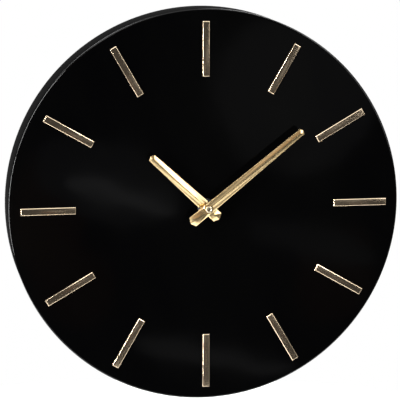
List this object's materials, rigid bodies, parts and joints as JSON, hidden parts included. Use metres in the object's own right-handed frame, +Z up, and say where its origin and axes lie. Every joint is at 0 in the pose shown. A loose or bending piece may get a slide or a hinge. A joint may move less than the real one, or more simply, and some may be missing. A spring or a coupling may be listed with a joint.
{
  "type": "wall clock",
  "caption": "Round black wall clock: a shallow pressed pan with raised gold hour bars, two ridged gold hands and a battery quartz movement behind.",
  "frame": {"origin": "the hanging point: the middle of the round end of the keyhole slot, on the wall plane", "axes": "+Z up, +X to the right seen from the front, the dial faces -Y and the wall is the plane y = 0"},
  "size_m": [0.38, 0.058, 0.38],
  "materials": {
    "black_lacquer": "satin black stoved lacquer on pressed steel",
    "polished_gold": "polished gold plating",
    "satin_gold": "satin gold anodised",
    "brass": "turned, satin",
    "zinc_steel": "zinc plated",
    "black_plastic": "moulded, fine grain",
    "grey_plastic": "moulded",
    "white_plastic": "moulded acetal",
    "rubber": "matt",
    "copper_wire": "enamelled winding wire",
    "magnet": "ground ferrite",
    "circuit_green": "solder mask",
    "battery_sleeve": "plain printed sleeve, no text"
  },
  "bodies": {
    "case": {"dial_case": "black_lacquer", "hour_marker_01": "polished_gold", "hour_marker_02": "polished_gold", "hour_marker_03": "polished_gold", "hour_marker_04": "polished_gold", "hour_marker_05": "polished_gold", "hour_marker_06": "polished_gold", "hour_marker_07": "polished_gold", "hour_marker_08": "polished_gold", "hour_marker_09": "polished_gold", "hour_marker_10": "polished_gold", "hour_marker_11": "polished_gold", "hour_marker_12": "polished_gold", "hanger_plate": "zinc_steel", "dial_gasket": "rubber", "fixing_washer": "black_plastic", "fixing_nut": "black_plastic", "movement_housing": "black_plastic", "movement_cover": "black_plastic", "train_bridge": "grey_plastic", "stator": "zinc_steel", "coil_core": "zinc_steel", "coil_bobbin": "white_plastic", "coil_winding": "copper_wire", "circuit_board": "circuit_green", "quartz_crystal": "zinc_steel", "driver_chip": "black_plastic", "contact_positive": "zinc_steel", "contact_negative": "zinc_steel"},
    "minute_hand_body": {"minute_hand": "satin_gold", "minute_arbor": "brass", "hand_nut": "brass"},
    "hour_hand_body": {"hour_hand": "satin_gold", "hour_wheel": "brass", "hour_hand_collet": "brass"},
    "motion_wheel_body": {"motion_wheel": "white_plastic"},
    "setting_knob_body": {"setting_knob": "black_plastic"},
    "seconds_wheel_body": {"seconds_wheel": "white_plastic"},
    "third_wheel_body": {"third_wheel": "white_plastic"},
    "centre_wheel_body": {"centre_wheel": "brass"},
    "step_wheel_body": {"step_wheel": "white_plastic"},
    "rotor_body": {"rotor": "magnet"},
    "battery_body": {"battery": "battery_sleeve"}
  },
  "joints": [
    {"name": "minute_turn", "type": "hinge", "parent": "case", "child": "minute_hand_body", "pos_m": [0, -0.03, -0.1728], "axis": [0, 1, 0], "continuous": true},
    {"name": "hour_turn", "type": "hinge", "parent": "case", "child": "hour_hand_body", "pos_m": [0, -0.03, -0.1728], "axis": [0, 1, 0], "continuous": true},
    {"name": "motion_wheel_turn", "type": "hinge", "parent": "case", "child": "motion_wheel_body", "pos_m": [-0.00866, -0.03, -0.1678], "axis": [0, 1, 0], "continuous": true},
    {"name": "setting_knob_turn", "type": "hinge", "parent": "case", "child": "setting_knob_body", "pos_m": [-0.01866, -0.03, -0.1678], "axis": [0, 1, 0], "continuous": true},
    {"name": "seconds_wheel_turn", "type": "hinge", "parent": "case", "child": "seconds_wheel_body", "pos_m": [0, -0.03, -0.1728], "axis": [0, 1, 0], "continuous": true},
    {"name": "third_wheel_turn", "type": "hinge", "parent": "case", "child": "third_wheel_body", "pos_m": [0, -0.03, -0.1623], "axis": [0, 1, 0], "continuous": true},
    {"name": "centre_wheel_turn", "type": "hinge", "parent": "case", "child": "centre_wheel_body", "pos_m": [0, -0.03, -0.1728], "axis": [0, 1, 0], "continuous": true},
    {"name": "step_wheel_turn", "type": "hinge", "parent": "case", "child": "step_wheel_body", "pos_m": [0.00888, -0.03, -0.16957], "axis": [0, 1, 0], "continuous": true},
    {"name": "rotor_turn", "type": "hinge", "parent": "case", "child": "rotor_body", "pos_m": [0.01569, -0.03, -0.16722], "axis": [0, 1, 0], "continuous": true},
    {"name": "battery_lift_out", "type": "slide", "parent": "case", "child": "battery_body", "axis": [0, 1, 0], "range_m": [0, 0.02]}
  ],
  "couplings": [
    {"joint": "hour_turn", "follows": "minute_turn", "ratio": 0.083333},
    {"joint": "motion_wheel_turn", "follows": "minute_turn", "ratio": -0.33333},
    {"joint": "setting_knob_turn", "follows": "minute_turn", "ratio": 1},
    {"joint": "third_wheel_turn", "follows": "seconds_wheel_turn", "ratio": -0.13333},
    {"joint": "centre_wheel_turn", "follows": "seconds_wheel_turn", "ratio": 0.016667},
    {"joint": "step_wheel_turn", "follows": "seconds_wheel_turn", "ratio": -6},
    {"joint": "rotor_turn", "follows": "seconds_wheel_turn", "ratio": 30}
  ]
}
